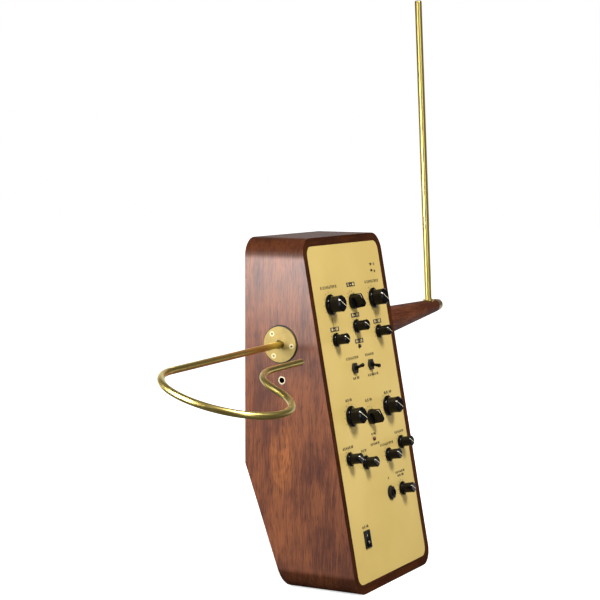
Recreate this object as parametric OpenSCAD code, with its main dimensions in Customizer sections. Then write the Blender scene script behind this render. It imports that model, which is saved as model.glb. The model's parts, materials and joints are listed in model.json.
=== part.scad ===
// Theremin: a walnut cabinet with a leaning brass-coloured control panel, a brass volume loop
// on its left and a brass pitch rod on a turned wooden arm on its right.
// Frame: origin at the mouth of the stand thread, in the middle of the base; +X to the
// player's right, -Y towards the player, +Z up.  Millimetres and degrees.

/* [Cabinet] */
// Width of the cabinet
body_w = 210; // [200:1:230]
// Length of the leaning front face, from its bottom edge to its top edge
face_l = 423.5; // [423:0.5:445]
// Angle by which the front face leans back
lean = 10.4; // [9:0.1:12]
// Depth of the flat base
base_d = 98; // [94:1:110]
// Depth of the flat top
top_d = 74.5; // [70:0.5:85]
// Height at which the slanting back turns upright
bend_z = 147; // [135:1:160]
// Thickness of the walnut boards
board_t = 12.7; // [12:0.1:14]
// Radius of the four long edges
edge_r = 21.6; // [18:0.1:26]
// Width of the wooden rim that shows round the front panel
rim_w = 9.5; // [8:0.1:10]

/* [Front panel] */
// Thickness of the front panel
panel_t = 2.5; // [2:0.1:3]
// Depth of the panel's face below the rim
panel_recess = 0.4; // [0.3:0.1:2]
// Gap between the front panel and the rim
panel_gap = 0.5; // [0.3:0.1:0.8]
// Shift of all the controls to the right of the panel's middle
layout_x = 1.5; // [-2:0.5:2]
// Distance of the large knobs' columns from the middle, top row
top_x = 58.4; // [56:0.1:62]
// Distance of the large knobs' columns from the middle, middle row
mid_x = 51; // [48:0.5:56]
// Distance of the outer lower knobs from the middle
outer_x = 71.5; // [70:0.5:73]
// Distance of the inner lower knobs from the middle
inner_x = 32; // [28:0.5:40]
// Distance of the two toggle switches from the middle
toggle_x = 22; // [18:0.5:28]
// Place of the top row up the face
top_v = 342; // [341:0.5:346]
// Place of the upper row of small knobs up the face
upper_v = 300; // [298:0.5:304]
// Place of the middle small knob up the face
upper_mid_v = 311.5; // [308:0.5:314]
// Place of the toggle switches up the face
toggle_v = 262; // [250:0.5:270]
// Place of the middle row up the face
mid_v = 207; // [200:0.5:212]
// Place of the middle selector up the face
mid_sel_v = 200; // [196:0.5:204]
// Place of the outer lower knobs up the face
outer_v = 158.5; // [155:0.5:162]
// Place of the inner lower knobs up the face
inner_v = 148.5; // [144:0.5:152]
// Place of the headphone jack and its level knob up the face
phones_v = 102.5; // [99:0.5:106]
// Distance of the headphone level knob from the middle
level_x = 55; // [50:0.5:60]
// Distance of the headphone jack from the middle
jack_x = 23; // [20:0.5:26]
// Distance of the power switch from the middle, to the left
power_x = 58.4; // [54:0.1:62]
// Place of the power switch up the face
power_v = 60.5; // [56:0.5:62]

/* [Knobs] */
// Radius of a large knob's skirt
large_skirt_r = 12.7; // [12:0.1:14]
// Radius of a large knob's face
large_face_r = 9.9; // [8.5:0.1:10.4]
// Height of a large knob above the panel
large_h = 18; // [16:0.5:20]
// Radius of a small knob's skirt
small_skirt_r = 8.5; // [8.2:0.1:9.5]
// Radius of a small knob's face
small_face_r = 6.4; // [5.6:0.1:6.6]
// Height of a small knob above the panel
small_h = 16.8; // [15:0.1:18]
// Radius of a selector knob
selector_r = 9.4; // [8.8:0.1:10.5]
// Width of a selector's bar
selector_bar_w = 7.2; // [6.8:0.1:8.5]
// Height of a selector above the panel
selector_h = 15; // [13.5:0.5:16]
// Gap between a knob and the panel
knob_gap = 0.9; // [0.6:0.1:1.2]
// Turn of the round knobs' pointers from upright, anticlockwise
pointer_turn = 60; // [0:5:90]
// Turn of the selectors' bars from upright, anticlockwise
selector_turn = 36; // [0:12:48]

/* [Switches, jacks and pots] */
// Diameter of a control shaft
shaft_d = 6; // [5.8:0.05:6.35]
// Wall of the threaded bushing round a control shaft
bushing_wall = 0.55; // [0.5:0.05:0.75]
// Wall of a control's nut, from its thread to its flats
nut_wall = 1.15; // [1:0.05:1.3]
// Thickness of a control's nut
nut_t = 2; // [1.6:0.1:2.1]
// Diameter of a pot's can
pot_d = 16.5; // [14:0.5:17]
// Depth of the pots and switches, from the panel to the circuit board
pot_depth = 8; // [7.5:0.1:9]
// Bore of a jack socket, for a 6.35 mm plug
jack_bore_d = 6.4; // [6.35:0.01:6.5]
// Diameter of a jack's threaded nose
jack_nose_d = 9; // [8.6:0.1:9.5]
// Width across the flats of a jack's nut
jack_nut_af = 14; // [13:0.5:15]
// Angle of a toggle lever either side of straight out
toggle_throw = 15; // [10:1:17]
// Length of a toggle lever, from its pivot to the middle of its round end
toggle_l = 10; // [9:0.5:12]
// Angle of the power rocker either side of level
rocker_throw = 8; // [5:0.5:9]

/* [Volume loop] */
// Distance of both antennas behind the front bottom edge
antenna_back = 102.7; // [98:0.1:108]
// Height of both antennas above the base
antenna_z = 292; // [280:0.5:300]
// Diameter of the volume loop's rod
loop_d = 7.94; // [7.5:0.01:8.5]
// Length of the loop's straight leg, from the cabinet's side
loop_leg = 239.4; // [225:0.1:255]
// Bend radius of the round end of the loop, at the middle of the rod
loop_r = 69.5; // [64:0.5:74]
// Bend radius of the loop's neck, at the middle of the rod
neck_r = 68.2; // [62:0.1:74]
// Distance between the loop's leg and its free end
loop_gap = 50.5; // [46:0.5:55]
// Distance of the loop's free end from the cabinet's side
loop_end = 40.8; // [32:0.1:50]
// Tilt of the loop's plane, down towards the player
loop_tilt = 15; // [0:1:30]
// Fall of the loop's leg below level
loop_droop = 1.1; // [0:0.1:1.5]
// Diameter of the round flange on the cabinet's side
flange_d = 42.5; // [40:0.5:46]
// Thickness of that flange
flange_t = 2.6; // [2.4:0.1:3]
// Radius of the ring of flange screws
flange_screw_r = 15.9; // [15:0.1:16.5]
// Depth of the loop's socket behind the cabinet's side
socket_l = 42; // [36:1:46]
// Wall of the tube that holds the loop's leg
sleeve_wall = 4; // [3:0.1:4.5]
// Depth of the recess in the flange round the loop's leg
leg_recess = 3.2; // [1:0.1:5]

/* [Pitch arm and rod] */
// Length of the turned arm, with its cap
arm_l = 252; // [240:1:265]
// Radius of the arm where it meets the cabinet
arm_root_r = 22.75; // [21:0.25:24]
// Radius of the arm's cap at its end
arm_tip_r = 8.2; // [8:0.1:9]
// Rise of the arm's axis above level
arm_rise = 2.7; // [0:0.1:3.5]
// Length of the brass cap on the arm's end
cap_l = 16; // [14:0.5:18]
// Distance of the rod along the arm, from the cabinet's side
rod_s = 217.9; // [205:0.1:220]
// Diameter of the pitch rod
rod_d = 9.525; // [9.4:0.005:9.6]
// Length of the pitch rod
rod_l = 427; // [400:1:460]
// Lean of the pitch rod to the rear
rod_lean = 2.7; // [0:0.1:4]
// Depth of the rod's seat below the arm's axis
rod_seat = 5; // [4:0.1:6]
// Wall of the brass bush round the rod
bush_wall = 1.6; // [1.2:0.1:2]

/* [Stand and back] */
// Radius of the stand flange in the base
stand_flange_r = 30; // [28:0.5:32]
// Thickness of the stand flange
stand_flange_t = 3; // [2.6:0.1:3.5]
// Bore of the stand thread at its crests
stand_bore_d = 14.9; // [14.7:0.05:15.2]
// Depth of the stand thread
stand_bore_l = 18; // [16:0.5:22]
// Thickness of the rear panel
rear_t = 2; // [1.5:0.1:2.5]
// Width of the wooden rim round the rear panel
rear_rim = 6; // [5.5:0.1:6.2]
// Height of the row of rear sockets
rear_row_z = 200; // [190:1:230]

/* [Hidden] */
$fn = 64;

// Clearances
fit = 0.05;            // running fit of a shaft in its bore, at the radius
loose = 0.3;           // gap between pieces that only pass each other
eps = 0.01;
far = 600;             // longer than the whole object

// Cabinet profile, seen from the side
front_y = -base_d / 2;
top_z = face_l * cos(lean);
top_front_y = front_y + face_l * sin(lean);
back_y = top_front_y + top_d;
antenna_y = front_y + antenna_back;
slant = atan2(bend_z, back_y + front_y);      // slope of the lower back
wall_x = body_w / 2 - board_t;                // inner face of a side board
bottom_rim = rim_w + 1.2;
panel_w = body_w - 2 * rim_w;
panel_l = face_l - rim_w - bottom_rim;
panel_mid_v = (face_l - rim_w + bottom_rim) / 2;
panel_r = edge_r - rim_w;
rear_recess = 1;

// Places on the face: distance from the middle, distance up the face
top_left = [layout_x - top_x, top_v];
top_right = [layout_x + top_x, top_v];
top_middle = [layout_x, top_v];
upper_left = [layout_x - top_x, upper_v];
upper_middle = [layout_x, upper_mid_v];
upper_right = [layout_x + top_x, upper_v];
middle_left = [layout_x - mid_x, mid_v];
middle_right = [layout_x + mid_x, mid_v];
middle_middle = [layout_x, mid_sel_v];
outer_left = [layout_x - outer_x, outer_v];
inner_left = [layout_x - inner_x, inner_v];
inner_right = [layout_x + inner_x, inner_v];
outer_right = [layout_x + outer_x, outer_v];
headphone_level = [layout_x + level_x, phones_v];
large_places = [top_left, top_right, middle_left, middle_right];
small_places = [upper_left, upper_middle, upper_right, outer_left, inner_left,
                inner_right, outer_right, headphone_level];
pot_places = concat(large_places, small_places);
selector_places = [top_middle, middle_middle];
toggle_places = [[layout_x - toggle_x, toggle_v], [layout_x + toggle_x, toggle_v]];
jack_place = [layout_x + jack_x, phones_v];
power_place = [layout_x - power_x, power_v];
// Indicator lamps: place and radius
small_lamp_r = 1.5;
large_lamp_r = 2.5;
lamps = [[[layout_x + 65, 384.5], small_lamp_r], [[layout_x + 65, 376.5], small_lamp_r],
         [[layout_x, 287], large_lamp_r], [[layout_x, 173], large_lamp_r]];

// Circuit board
pcb_t = 1.6;
pcb_side = 10.3;       // gap between the board and the side boards
pcb_x = wall_x - pcb_side;
pcb_low_v = 84;
pcb_high_v = 391;
pcb_back = -panel_t - pot_depth - pcb_t;      // its rear face, from the panel's face
spacer_x = pcb_x - 6.5;
spacer_vs = [102, 232, 372];
spacer_places = [for (s = [-1, 1], v = spacer_vs) [s * spacer_x, v]];

// Corner blocks and the studs that hold the front panel
block_w = 14;
block_d = 14;
block_x = wall_x - block_w / 2;
block_vs = [bottom_rim + block_w + 2, face_l - rim_w - block_w];
block_places = [for (s = [-1, 1], v = block_vs) [s * block_x, v]];
stud_r = 2;
stud_l = block_d + 5;

// Screws
screw_r = 1.5;
screw_l = 8;
pan_head_r = 2.8;
pan_head_h = 2;
csk_head_r = 3.2;
csk_l = 10;

// Rear panel
rear_w = body_w - 2 * rear_rim;
rear_low = bend_z + rear_rim;
rear_high = top_z - rear_rim;
rear_sill = bend_z + board_t;
rear_screw_x = (wall_x + body_w / 2 - rear_rim) / 2;
rear_screw_zs = [rear_sill + 12, (rear_low + rear_high) / 2, rear_high - edge_r];
rear_screw_places = [for (s = [-1, 1], z = rear_screw_zs) [s * rear_screw_x, z]];
rear_jack_xs = [-50, -20, 10];
dc_x = 55;
dc_nose_r = 5.5;

// Controls
bushing_d = shaft_d + 2 * (fit + bushing_wall);
nut_af = bushing_d + 2 * nut_wall;
bushing_top = nut_t + 0.6;
knob_bore_l = 11;
toggle_pivot = 2;
toggle_ball_r = 1.8;
toggle_bore_r = toggle_ball_r + loose;
toggle_nose_r = 3;
toggle_nose_h = 4;
toggle_nut_t = 2.6;
toggle_nut_af = 12.7;
jack_nut_t = 2.5;
jack_washer_r = jack_nut_af / 2 + 1.8;
jack_washer_t = 0.8;
jack_nose_h = 5;
jack_body_w = 15.5;
jack_body_l = 22;
rocker_pivot = -2;
rocker_pin_r = 1.2;
rocker_half_w = 4.7;
rocker_half_l = 8;
rocker_rise = 2.2;
bezel = [15, 21, 1.6];
switch_body = [13, 19, 16];

// Stand flange
stand_boss_r = stand_bore_d / 2 + 4.05;
stand_screw_r = 22.5;
stand_screw_angles = [45, 135, 225, 315];

// Coils and leads behind the board
coil_x = 46;
coil_vs = [255, 285, 325];
lead_x = 62;
lead_v = 305;

// Antennas
sleeve_r = loop_d / 2 + fit + sleeve_wall;
flange_screw_angles = [40, 150, 265];
eyelet_bore_r = 3.3;
eyelet_r = eyelet_bore_r + 1.45;
eyelet_y = antenna_y - 2.1;
eyelet_z = antenna_z - 42.5;
arm_bolt_r = 5;
arm_bolt_l = 26;
lead_r = 0.75;
lead_ball = 0.15;      // extra radius of the solder ball at a lead's ends and bends
arm_duct_r = 3;
cap_groove = 0.8;
wood_l = arm_l - cap_l;
bush_r = rod_d / 2 + fit + bush_wall;
collar_r = bush_r + 1.2;
spigot_gap = 0.7;      // from the bush to the spigot of the arm's cap
spigot_s = rod_s + bush_r + spigot_gap;
spigot_r = 4;
collar_t = 2.2;

// Radius of the arm at a distance along its axis
function arm_r(s) = arm_root_r + (arm_tip_r - arm_root_r) * s / arm_l;
// Centre of the loop's neck bend, in the loop's own plane
neck_rise = loop_gap + neck_r - loop_r;
neck_p = loop_leg - sqrt(pow(loop_r + neck_r, 2) - pow(neck_rise, 2));
turn_angle = atan2(neck_p - loop_leg, neck_rise);

// ---- Placing ----

// On the leaning face, +z straight out of it
module on_face(place, h = 0) {
    translate([place[0],
               front_y + place[1] * sin(lean) - h * cos(lean),
               place[1] * cos(lean) + h * sin(lean)])
        rotate([90 - lean, 0, 0])
            children();
}

// On the front panel's face, +z straight out of it
module on_panel(place, h = 0) {
    on_face(place, h - panel_recess) children();
}

// On the rear panel's face, +z straight out of it
module on_back(x, z) {
    translate([x, back_y - rear_recess, z]) rotate([-90, 0, 0]) children();
}

// On the left side, +z straight out of it
module on_left(y, z) {
    translate([-body_w / 2, y, z]) rotate([0, -90, 0]) children();
}

// On the right side, +z straight out of it
module on_right(y, z) {
    translate([body_w / 2, y, z]) rotate([0, 90, 0]) children();
}

// Along the loop's leg, +z out of the cabinet
module on_leg() {
    translate([-body_w / 2, antenna_y, antenna_z])
        rotate([0, -90 - loop_droop, 0])
            children();
}

// In the loop's own plane: x away from the leg, y along it, z across the plane
module in_loop_plane() {
    on_leg() rotate([0, 0, -90 - loop_tilt]) rotate([90, 0, 0]) children();
}

// Along the arm, +z out of the cabinet
module on_arm(s = 0) {
    translate([body_w / 2, antenna_y, antenna_z])
        rotate([0, 90 - arm_rise, 0])
            translate([0, 0, s])
                children();
}

// Along the pitch rod, from the arm's axis, +z up the rod
module on_rod() {
    translate([body_w / 2 + rod_s * cos(arm_rise), antenna_y,
               antenna_z + rod_s * sin(arm_rise)])
        rotate([-rod_lean, 0, 0])
            children();
}

// ---- Shapes used more than once ----

// Rectangle with round corners, centred
module round_rect(w, l, r) {
    square([w - 2 * r, l], center = true);
    square([w, l - 2 * r], center = true);
    for (sx = [-1, 1], sy = [-1, 1])
        translate([sx * (w / 2 - r), sy * (l / 2 - r)]) circle(r);
}

// Upright prism from a side profile, across the whole width
module from_side(w) {
    translate([-w / 2, 0, 0]) rotate([90, 0, 90]) linear_extrude(w) children();
}

// Wire through a list of points, with a small ball at each
module wire(points, r) {
    for (p = points) translate(p) sphere(r + lead_ball);
    for (i = [1 : len(points) - 1]) {
        d = points[i] - points[i - 1];
        translate(points[i - 1])
            rotate([0, acos(d[2] / norm(d)), atan2(d[1], d[0])])
                cylinder(h = norm(d), r = r);
    }
}

// Hexagonal nut on its seat
module hex_nut(af, t, bore_r) {
    difference() {
        cylinder(h = t, r = af / sqrt(3), $fn = 6);
        translate([0, 0, -eps]) cylinder(h = t + 2 * eps, r = bore_r);
    }
}

// Cross recess in a screw head, cut down from z = 0
module cross_slot(w, depth) {
    for (a = [0, 90])
        rotate([0, 0, a])
            translate([-w / 2, -w / 8, -depth])
                cube([w, w / 4, depth + eps]);
}

// Pan-head screw, its seat at z = 0 and its shank below
module pan_screw() {
    difference() {
        union() {
            translate([0, 0, -screw_l]) cylinder(h = screw_l, r = screw_r);
            cylinder(h = pan_head_h * 0.6, r = pan_head_r);
            translate([0, 0, pan_head_h * 0.6])
                cylinder(h = pan_head_h * 0.4, r1 = pan_head_r, r2 = pan_head_r * 0.72);
        }
        translate([0, 0, pan_head_h]) cross_slot(3, 1.1);
    }
}

// Countersunk screw, its head flush at z = 0 and its shank below
module csk_screw() {
    head_h = csk_head_r - screw_r;
    difference() {
        union() {
            translate([0, 0, -head_h]) cylinder(h = head_h, r1 = screw_r, r2 = csk_head_r);
            translate([0, 0, -csk_l]) cylinder(h = csk_l - head_h, r = screw_r);
        }
        cross_slot(3.4, 1);
    }
}

// Hole that a countersunk screw needs through a plate and into the wood
module csk_hole() {
    head_h = csk_head_r - screw_r;
    translate([0, 0, -head_h - fit])
        cylinder(h = head_h + 2 * fit, r1 = screw_r + fit, r2 = csk_head_r + 2 * fit);
    translate([0, 0, -csk_l - 1]) cylinder(h = csk_l + 1, r = screw_r + fit);
}

// ---- Cabinet ----

// Outer side profile of the cabinet
module side_profile() {
    polygon([[front_y, 0], [top_front_y, top_z], [back_y, top_z],
             [back_y, bend_z], [-front_y, 0]]);
}

// Side profile of the space inside, open at the front and at the upper back
module inner_profile() {
    back_in = back_y - board_t;
    // Inner face of the slanting back, at the base board and under the sill
    low_y = -front_y - board_t / sin(slant) + board_t / tan(slant);
    high_z = (back_in + board_t / sin(slant) + front_y) * tan(slant);
    polygon([[front_y - far, board_t], [low_y, board_t], [back_in, high_z],
             [back_in, rear_sill], [back_y + board_t, rear_sill],
             [back_y + board_t, top_z - board_t], [front_y - far, top_z - board_t]]);
}

module front_outline(w, h, r) {
    translate([0, far / 2, top_z / 2])
        rotate([90, 0, 0])
            linear_extrude(far)
                round_rect(w, h, r);
}

// Blocks glued to the side boards; each runs a little into its board, and the panel's
// rebate trims its front
module corner_blocks() {
    glue = 1;
    for (p = block_places)
        on_panel([p[0] + sign(p[0]) * glue, p[1]], -panel_t - block_d)
            translate([-block_w / 2, -block_w / 2, 0])
                cube([block_w, block_w, block_d + glue]);
}

module cabinet() {
    color("#6a3a26")
    difference() {
        union() {
            difference() {
                intersection() {
                    from_side(body_w) side_profile();
                    front_outline(body_w, top_z, edge_r);
                }
                intersection() {
                    from_side(2 * wall_x) inner_profile();
                    front_outline(2 * wall_x, top_z - 2 * board_t, edge_r - board_t);
                }
            }
            corner_blocks();
        }
        // Rebate for the front panel
        on_panel([0, panel_mid_v], -panel_t)
            linear_extrude(panel_t + panel_recess + 1)
                round_rect(panel_w, panel_l, panel_r);
        for (p = block_places)
            on_panel(p, -panel_t - block_d - 1)
                cylinder(h = block_d + 2, r = stud_r + 0.2);
        // Rebate for the rear panel
        on_back(0, (rear_low + rear_high) / 2)
            translate([0, 0, -rear_t])
                linear_extrude(rear_t + rear_recess + 1)
                    round_rect(rear_w, rear_high - rear_low, edge_r - rear_rim);
        for (p = rear_screw_places)
            on_back(p[0], p[1])
                translate([0, 0, -rear_t - screw_l - 1])
                    cylinder(h = screw_l + 2, r = screw_r + fit);
        // Volume socket, eyelet and the bolt of the pitch arm
        on_leg() translate([0, 0, -board_t - 2]) cylinder(h = board_t + 4, r = sleeve_r + loose);
        for (a = flange_screw_angles)
            on_left(antenna_y, antenna_z)
                rotate([0, 0, a])
                    translate([flange_screw_r, 0, flange_t])
                        csk_hole();
        on_left(eyelet_y, eyelet_z)
            translate([0, 0, -board_t - 1])
                cylinder(h = board_t + 2, r = eyelet_r - 0.7);
        on_right(antenna_y, antenna_z)
            translate([0, 0, -board_t - 1])
                cylinder(h = board_t + 2, r = arm_bolt_r + loose);
        // Stand flange, let in flush
        translate([0, 0, -1]) cylinder(h = stand_flange_t + 1, r = stand_flange_r + loose);
        translate([0, 0, -1]) cylinder(h = board_t + 2, r = stand_boss_r + loose);
        for (a = stand_screw_angles)
            rotate([180, 0, a]) translate([stand_screw_r, 0, 0]) csk_hole();
    }
}

// ---- Panels and what is fixed to them ----

module control_holes(r, places) {
    for (p = places)
        on_panel(p, -panel_t - 1) cylinder(h = panel_t + 2, r = r);
}

module front_panel() {
    color("#dcc072") {
        difference() {
            on_panel([0, panel_mid_v], -panel_t)
                linear_extrude(panel_t)
                    round_rect(panel_w - 2 * panel_gap, panel_l - 2 * panel_gap,
                               panel_r - panel_gap);
            control_holes(bushing_d / 2 + 0.1, concat(pot_places, selector_places));
            control_holes(toggle_nose_r + 0.1, toggle_places);
            control_holes(jack_nose_d / 2 + 0.1, [jack_place]);
            for (lamp = lamps) control_holes(lamp[1] + 0.1, [lamp[0]]);
            on_panel(power_place, -panel_t / 2)
                cube([switch_body[0] + 0.4, switch_body[1] + 0.4, 2 * panel_t], center = true);
        }
        for (p = block_places)
            on_panel(p, -panel_t - stud_l) cylinder(h = stud_l + 0.5, r = stud_r);
    }
}

module panel_nuts() {
    color("#b9bcc0")
    for (p = block_places)
        on_panel(p, -panel_t - block_d - 3.2) hex_nut(7, 3.2, stud_r + fit);
}

module rear_panel() {
    color("#1d1d1f")
    difference() {
        on_back(0, (rear_low + rear_high) / 2)
            translate([0, 0, -rear_t])
                linear_extrude(rear_t)
                    round_rect(rear_w - 2 * panel_gap, rear_high - rear_low - 2 * panel_gap,
                               edge_r - rear_rim - panel_gap);
        for (p = rear_screw_places)
            on_back(p[0], p[1]) translate([0, 0, -rear_t - 1])
                cylinder(h = rear_t + 2, r = screw_r + 0.1);
        for (x = rear_jack_xs)
            on_back(x, rear_row_z) translate([0, 0, -rear_t - 1])
                cylinder(h = rear_t + 2, r = jack_nose_d / 2 + 0.1);
        on_back(dc_x, rear_row_z) translate([0, 0, -rear_t - 1])
            cylinder(h = rear_t + 2, r = dc_nose_r + 0.1);
    }
}

module machine_screws() {
    color("#2a2a2c") {
        for (p = rear_screw_places) on_back(p[0], p[1]) pan_screw();
        for (p = spacer_places)
            on_panel(p, pcb_back) rotate([180, 0, 0]) pan_screw();
    }
}

// ---- Circuit board and what it carries ----

module main_board() {
    color("#1d5a34")
    difference() {
        on_panel([0, (pcb_low_v + pcb_high_v) / 2], pcb_back)
            translate([-pcb_x, -(pcb_high_v - pcb_low_v) / 2, 0])
                cube([2 * pcb_x, pcb_high_v - pcb_low_v, pcb_t]);
        for (p = spacer_places)
            on_panel(p, pcb_back - 1) cylinder(h = pcb_t + 2, r = screw_r + fit);
        on_panel(jack_place, pcb_back)
            cube([jack_body_w + 2, jack_body_w + 2, 4 * pcb_t], center = true);
    }
}

module board_spacers() {
    color("#c9a24a")
    for (p = spacer_places)
        on_panel(p, -panel_t - pot_depth) hex_nut(5.5, pot_depth, screw_r + fit);
}

module coil_bobbin() {
    cylinder(h = 1.2, r = 8);
    cylinder(h = 12, r = 6.6);
    translate([0, 0, 10.8]) cylinder(h = 1.2, r = 8);
}

module antenna_coils() {
    color("#a6552e")
    for (s = [-1, 1], v = coil_vs)
        on_panel([s * coil_x, v], pcb_back) rotate([180, 0, 0]) coil_bobbin();
}

// Point on the rear face of the board, in the object's frame
function behind_board(x, v, h) =
    [x, front_y + v * sin(lean) - (pcb_back - h - panel_recess) * cos(lean),
     v * cos(lean) + (pcb_back - h - panel_recess) * sin(lean)];
// Point along the arm's axis
function along_arm(s) =
    [body_w / 2 + s * cos(arm_rise), antenna_y, antenna_z + s * sin(arm_rise)];
// Point along the loop's leg, from the cabinet's side
function along_leg(p) =
    [-body_w / 2 - p * cos(loop_droop), antenna_y, antenna_z - p * sin(loop_droop)];

module antenna_leads() {
    color("#c23b2a") {
        ball_r = lead_r + lead_ball;
        socket_end = along_leg(-socket_l - ball_r);
        wire([socket_end, behind_board(-lead_x, lead_v, ball_r)], lead_r);
        bush_side = along_arm(rod_s - bush_r - ball_r);
        inside = along_arm((lead_x - body_w / 2) / cos(arm_rise));
        pitch_pad = behind_board(lead_x, lead_v, ball_r);
        wire([bush_side, inside, pitch_pad], lead_r);
    }
}

// ---- Controls on the panel ----

module threaded_bushing(r, top, bore_r) {
    difference() {
        translate([0, 0, -panel_t]) cylinder(h = panel_t + top, r = r);
        translate([0, 0, -panel_t - eps]) cylinder(h = panel_t + top + 1, r = bore_r);
    }
}

// Round can with the bushing that holds it in the panel
module pot_body() {
    difference() {
        union() {
            translate([0, 0, -panel_t - pot_depth]) cylinder(h = pot_depth, r = pot_d / 2);
            translate([0, 0, -panel_t - eps])
                cylinder(h = panel_t + bushing_top, r = bushing_d / 2);
        }
        translate([0, 0, -panel_t - pot_depth + 2])
            cylinder(h = panel_t + pot_depth + bushing_top, r = shaft_d / 2 + fit);
    }
}

module pot_bodies() {
    color("#9a9ca0")
    for (p = pot_places) on_panel(p) pot_body();
}

module rotary_switch_bodies() {
    color("#26262a")
    for (p = selector_places)
        on_panel(p) {
            difference() {
                union() {
                    pot_body();
                    translate([0, 0, -panel_t - pot_depth])
                        cylinder(h = pot_depth - 1, r = pot_d / 2 + 2);
                }
                translate([0, 0, -panel_t - pot_depth + 2])
                    cylinder(h = panel_t + pot_depth + bushing_top, r = shaft_d / 2 + fit);
            }
        }
}

module bushing_nuts() {
    color("#b9bcc0")
    for (p = concat(pot_places, selector_places))
        on_panel(p) hex_nut(nut_af, nut_t, bushing_d / 2 + fit);
}

module toggle_bodies() {
    color("#33343a")
    for (p = toggle_places)
        on_panel(p)
            difference() {
                union() {
                    translate([-3.5, -6.5, -panel_t - pot_depth]) cube([7, 13, pot_depth]);
                    translate([0, 0, -panel_t - eps])
                        cylinder(h = panel_t + toggle_nose_h, r = toggle_nose_r);
                }
                translate([0, 0, toggle_pivot - 4])
                    cylinder(h = toggle_nose_h + 4, r = toggle_bore_r);
            }
}

module toggle_nuts() {
    color("#15151a")
    for (p = toggle_places)
        on_panel(p) hex_nut(toggle_nut_af, toggle_nut_t, toggle_nose_r + fit);
}

// Bat-shaped lever with the ball it pivots on
module toggle_lever(place, turn) {
    color("#101014")
    on_panel(place, toggle_pivot)
        rotate([turn, 0, 0]) {
            sphere(toggle_ball_r, $fn = 32);
            cylinder(h = toggle_l, r1 = 1.15, r2 = 2.3);
            translate([0, 0, toggle_l]) sphere(2.45, $fn = 32);
        }
}

module left_toggle_lever() {
    toggle_lever(toggle_places[0], -toggle_throw);
}

module right_toggle_lever() {
    toggle_lever(toggle_places[1], toggle_throw);
}

module power_switch_housing() {
    color("#0f0f12")
    on_panel(power_place)
        difference() {
            union() {
                translate([-bezel[0] / 2, -bezel[1] / 2, 0]) cube(bezel);
                translate([-switch_body[0] / 2, -switch_body[1] / 2, -switch_body[2]])
                    cube([switch_body[0], switch_body[1], switch_body[2] + eps]);
            }
            translate([-rocker_half_w - loose, -rocker_half_l - 0.9, -8])
                cube([2 * (rocker_half_w + loose), 2 * (rocker_half_l + 0.9), 12]);
            translate([-rocker_half_w - 1.3, 0, rocker_pivot]) rotate([0, 90, 0])
                cylinder(h = 2 * (rocker_half_w + 1.3), r = rocker_pin_r + fit);
        }
}

// Rocker with its two pivot pins; its upper end is pressed in at rest
module power_rocker() {
    color("#15151a")
    on_panel(power_place, rocker_pivot)
        rotate([-rocker_throw, 0, 0]) {
            translate([-rocker_half_w, 0, 0])
                rotate([90, 0, 90])
                    linear_extrude(2 * rocker_half_w)
                        polygon([[-rocker_half_l, -2.4], [rocker_half_l, -2.4],
                                 [rocker_half_l, rocker_rise - rocker_pivot],
                                 [0, 1 - rocker_pivot],
                                 [-rocker_half_l, rocker_rise - rocker_pivot]]);
            translate([-rocker_half_w - 1.1, 0, 0]) rotate([0, 90, 0])
                cylinder(h = 2 * (rocker_half_w + 1.1), r = rocker_pin_r);
        }
}

// Jack socket behind a plate, its nose through it
module jack_socket(plate_t) {
    difference() {
        union() {
            translate([-jack_body_w / 2, -jack_body_w / 2, -plate_t - jack_body_l])
                cube([jack_body_w, jack_body_w, jack_body_l]);
            translate([0, 0, -plate_t - eps])
                cylinder(h = jack_nose_h + plate_t, r = jack_nose_d / 2);
        }
        translate([0, 0, -plate_t - jack_body_l + 2])
            cylinder(h = jack_body_l + plate_t + jack_nose_h, r = jack_bore_d / 2);
    }
}

module jack_sockets() {
    color("#1b1b1e") {
        on_panel(jack_place) jack_socket(panel_t);
        for (x = rear_jack_xs) on_back(x, rear_row_z) jack_socket(rear_t);
    }
}

module jack_nut() {
    hex_nut(jack_nut_af, jack_nut_t + jack_washer_t, jack_nose_d / 2 + fit);
    difference() {
        cylinder(h = jack_washer_t, r = jack_washer_r);
        translate([0, 0, -eps]) cylinder(h = 2, r = jack_nose_d / 2 + fit);
    }
}

module jack_nuts() {
    color("#15151a") {
        on_panel(jack_place) jack_nut();
        for (x = rear_jack_xs) on_back(x, rear_row_z) jack_nut();
    }
}

// Low-voltage inlet with its centre pin
module dc_inlet() {
    color("#1b1b1e")
    on_back(dc_x, rear_row_z) {
        difference() {
            union() {
                translate([0, 0, -rear_t - 12]) cylinder(h = 12 + rear_t, r = dc_nose_r);
                cylinder(h = 1.6, r = dc_nose_r + 1.8);
            }
            translate([0, 0, -rear_t - 8]) cylinder(h = 20, r = 2.8);
        }
        translate([0, 0, -rear_t - 8 - eps]) cylinder(h = 8, r = 1.05);
    }
}

module status_leds() {
    color("#5a1512")
    for (lamp = lamps)
        on_panel(lamp[0]) {
            translate([0, 0, -panel_t - pot_depth])
                cylinder(h = panel_t + pot_depth + 0.6, r = lamp[1]);
            translate([0, 0, 0.6 - eps])
                intersection() {
                    sphere(lamp[1], $fn = 32);
                    translate([-5, -5, 0]) cube(10);
                }
        }
}

// ---- Knobs ----

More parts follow.
